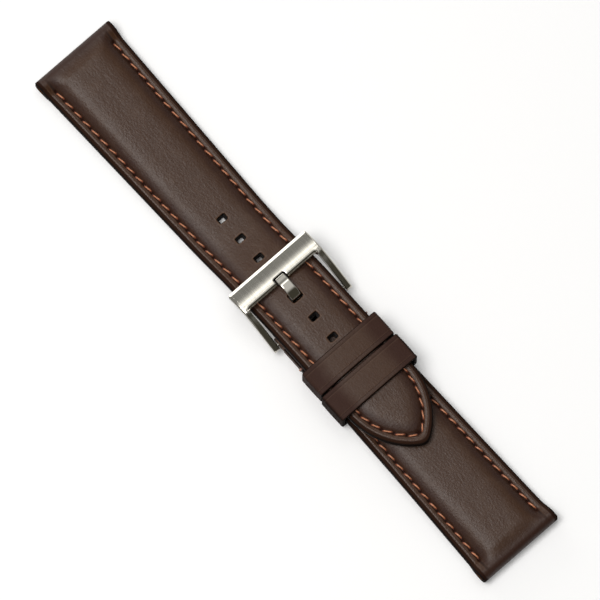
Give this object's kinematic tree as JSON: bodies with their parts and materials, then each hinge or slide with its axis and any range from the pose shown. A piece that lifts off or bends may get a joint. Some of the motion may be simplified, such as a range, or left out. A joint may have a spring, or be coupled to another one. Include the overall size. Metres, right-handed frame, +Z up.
{
  "type": "watch strap",
  "caption": "Padded leather watch strap in two parts, buckled and lying flat, with stitched edges, pin buckle, fixed and free keepers and spring-bar tunnels at both ends.",
  "frame": {"origin": "centre of the bounding box's bottom, on the surface that the strap lies on", "axes": "+X along the strap from the long strap's watch end to the short strap's watch end, +Y across it, +Z up through the face that shows when worn"},
  "size_m": [0.1516, 0.023, 0.0087],
  "materials": {
    "upper_leather": "smooth dark brown calf, soft sheen",
    "lining_leather": "smooth brown lining, matte",
    "keeper_leather": "smooth dark brown, creased along its edges",
    "padding": "pressed felt",
    "tape": "thin woven tape",
    "thread": "copper brown waxed thread",
    "satin_steel": "satin faces with polished bevels",
    "spring_bar_steel": "plain"
  },
  "bodies": {
    "short_strap": {"short_upper": "upper_leather", "short_lining": "lining_leather", "short_padding": "padding", "short_tape": "tape", "short_bar_tunnel": "upper_leather", "short_stitching": "thread", "buckle_loop": "lining_leather", "fixed_keeper": "keeper_leather", "keeper_anchor_stitches": "thread"},
    "tail": {"tail_upper": "upper_leather", "tail_lining": "lining_leather", "tail_padding": "padding", "tail_tape": "tape", "tail_bar_tunnel": "upper_leather", "tail_stitching": "thread"},
    "free_keeper": {"free_keeper": "keeper_leather"},
    "buckle": {"buckle_frame": "satin_steel", "spring_bar_tube": "spring_bar_steel", "spring_bar_spring": "spring_bar_steel"},
    "tongue": {"tongue": "satin_steel"},
    "bar_tip_left": {"spring_bar_tip_left": "spring_bar_steel"},
    "bar_tip_right": {"spring_bar_tip_right": "spring_bar_steel"}
  },
  "joints": [
    {"name": "buckle_hinge", "type": "hinge", "parent": "short_strap", "child": "buckle", "pos_m": [0.0051, 0, 0.0027], "axis": [0, 1, 0], "range_deg": [0, 2]},
    {"name": "tongue_hinge", "type": "hinge", "parent": "buckle", "child": "tongue", "pos_m": [0.0051, 0, 0.0027], "axis": [0, 1, 0], "range_deg": [0, 3]},
    {"name": "free_keeper_slide", "type": "slide", "parent": "short_strap", "child": "free_keeper", "axis": [1, 0, 0], "range_m": [0, 0.012]},
    {"name": "tail_slip", "type": "slide", "parent": "short_strap", "child": "tail", "axis": [1, 0, 0], "range_m": [-0.00015, 0.00015]},
    {"name": "bar_tip_left_push", "type": "slide", "parent": "buckle", "child": "bar_tip_left", "axis": [0, 1, 0], "range_m": [0, 0.001], "stiffness_N_per_m": 500, "springref_m": -0.0005, "deforming": ["spring_bar_spring"]},
    {"name": "bar_tip_right_push", "type": "slide", "parent": "buckle", "child": "bar_tip_right", "axis": [0, -1, 0], "range_m": [0, 0.001], "stiffness_N_per_m": 500, "springref_m": -0.0005}
  ]
}
